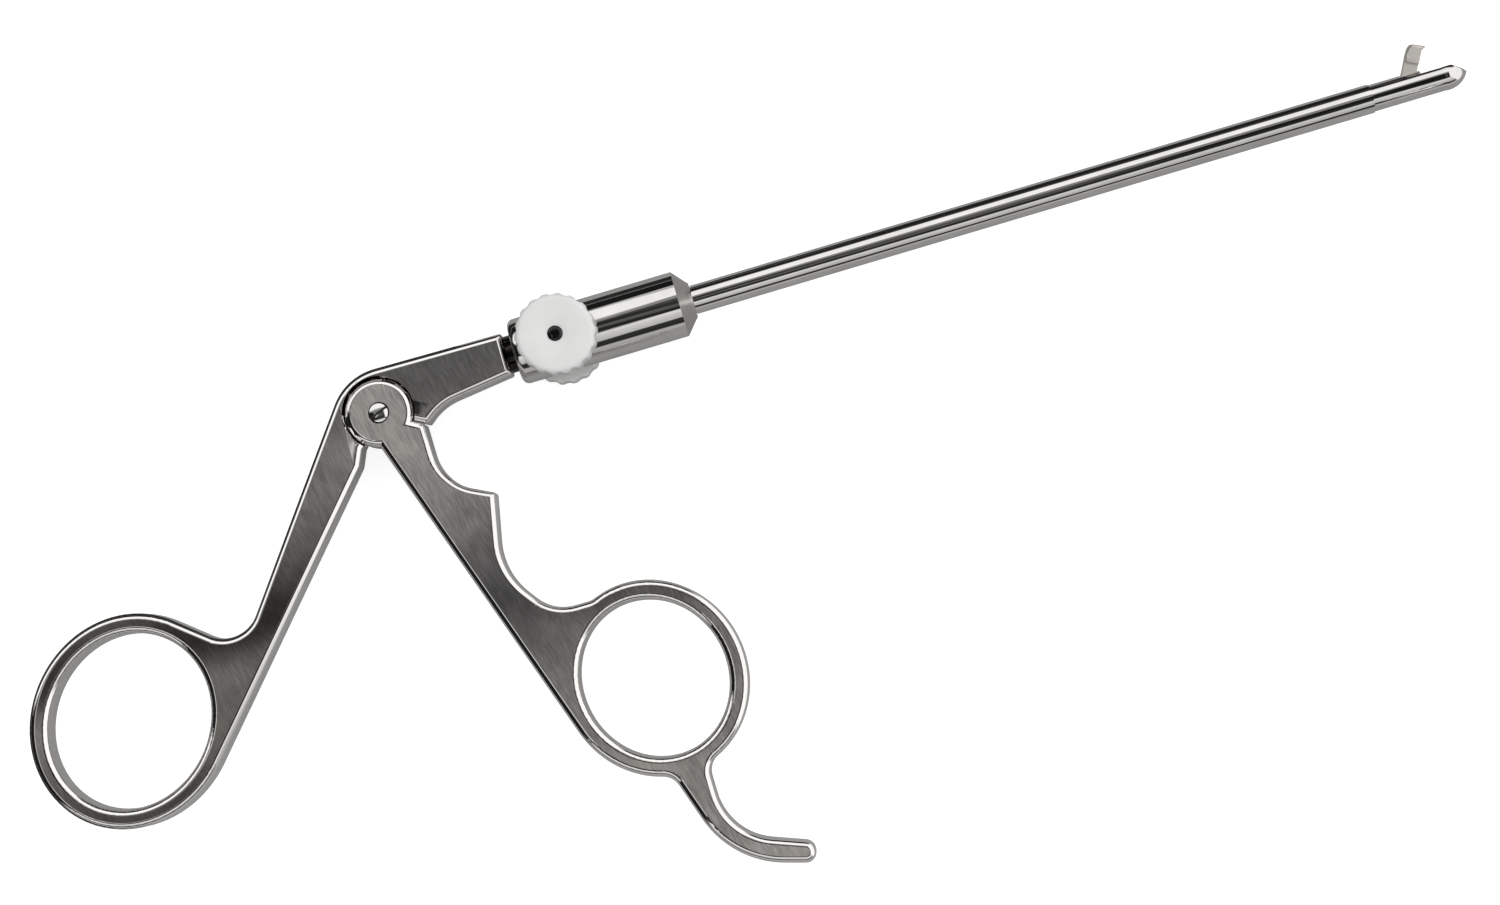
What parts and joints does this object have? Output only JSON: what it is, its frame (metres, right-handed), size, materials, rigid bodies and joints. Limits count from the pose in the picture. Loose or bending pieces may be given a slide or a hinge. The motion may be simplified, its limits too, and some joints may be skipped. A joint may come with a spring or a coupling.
{
  "type": "laryngeal forceps",
  "caption": "Ring-handled forceps with a long thin polished tube, a small biting jaw over a cup at its tip, and a barrel with scalloped white thumb wheels that turn the tube.",
  "frame": {"origin": "on the shaft axis, where the tube leaves the nose of the barrel", "axes": "+X along the tube towards the jaws, +Y up in the plane of the handles, away from the rings, +Z towards the near side, on which the moving handle's disc and the pivot screw's head lie"},
  "size_m": [0.2525, 0.0982, 0.02],
  "materials": {
    "handle_steel": "satin flats with mirror-polished rounded edges",
    "polished_steel": "mirror polished",
    "nose_steel": "satin",
    "jaw_steel": "satin",
    "screw_steel": "fine turned",
    "neck_steel": "dark satin",
    "wheel_plastic": "matt white",
    "cap_plastic": "glossy black",
    "bush_metal": "turned",
    "inner_steel": "turned"
  },
  "bodies": {
    "frame": {"fixed_handle": "handle_steel", "pivot_screw": "screw_steel", "neck_stud": "inner_steel", "neck_ring": "neck_steel", "barrel": "polished_steel", "nose_cap": "nose_steel", "front_bush": "bush_metal", "near_axle_bush": "bush_metal", "far_axle_bush": "bush_metal"},
    "squeeze_handle": {"moving_handle": "handle_steel"},
    "shaft": {"shaft_tube": "polished_steel", "spacer_sleeve": "inner_steel", "bevel_gear": "inner_steel", "gear_pin": "inner_steel", "lower_jaw": "jaw_steel", "jaw_pin": "jaw_steel"},
    "rod": {"push_rod": "inner_steel", "rod_ball": "inner_steel", "rod_tongue": "inner_steel"},
    "bite": {"upper_jaw": "jaw_steel", "crank_pin": "inner_steel"},
    "near_wheel_set": {"near_pinion_axle": "inner_steel", "near_wheel": "wheel_plastic", "near_wheel_screw": "inner_steel", "near_wheel_cap": "cap_plastic"},
    "far_wheel_set": {"far_pinion_axle": "inner_steel", "far_wheel": "wheel_plastic", "far_wheel_screw": "inner_steel", "far_wheel_cap": "cap_plastic"}
  },
  "joints": [
    {"name": "handle_pivot", "type": "hinge", "parent": "frame", "child": "squeeze_handle", "pos_m": [-0.0537, -0.0033, 0], "axis": [0, 0, 1], "range_deg": [-20, 0]},
    {"name": "shaft_turn", "type": "hinge", "parent": "frame", "child": "shaft", "pos_m": [0, 0, 0], "axis": [1, 0, 0], "continuous": true},
    {"name": "rod_slide", "type": "slide", "parent": "shaft", "child": "rod", "axis": [1, 0, 0], "range_m": [0, 0.00117]},
    {"name": "jaw_pivot", "type": "hinge", "parent": "shaft", "child": "bite", "pos_m": [0.1215, -0.001, 0], "axis": [0, 0, 1], "range_deg": [-61, 0]},
    {"name": "near_wheel_turn", "type": "hinge", "parent": "frame", "child": "near_wheel_set", "pos_m": [-0.0225, 0, 0.008], "axis": [0, 0, 1], "continuous": true},
    {"name": "far_wheel_turn", "type": "hinge", "parent": "frame", "child": "far_wheel_set", "pos_m": [-0.0225, 0, -0.008], "axis": [0, 0, 1], "continuous": true}
  ],
  "couplings": [
    {"joint": "rod_slide", "follows": "handle_pivot", "m_per_rad": -0.003334},
    {"joint": "jaw_pivot", "follows": "handle_pivot", "ratio": 3.05},
    {"joint": "near_wheel_turn", "follows": "shaft_turn", "ratio": -1.6},
    {"joint": "far_wheel_turn", "follows": "shaft_turn", "ratio": 1.6}
  ]
}
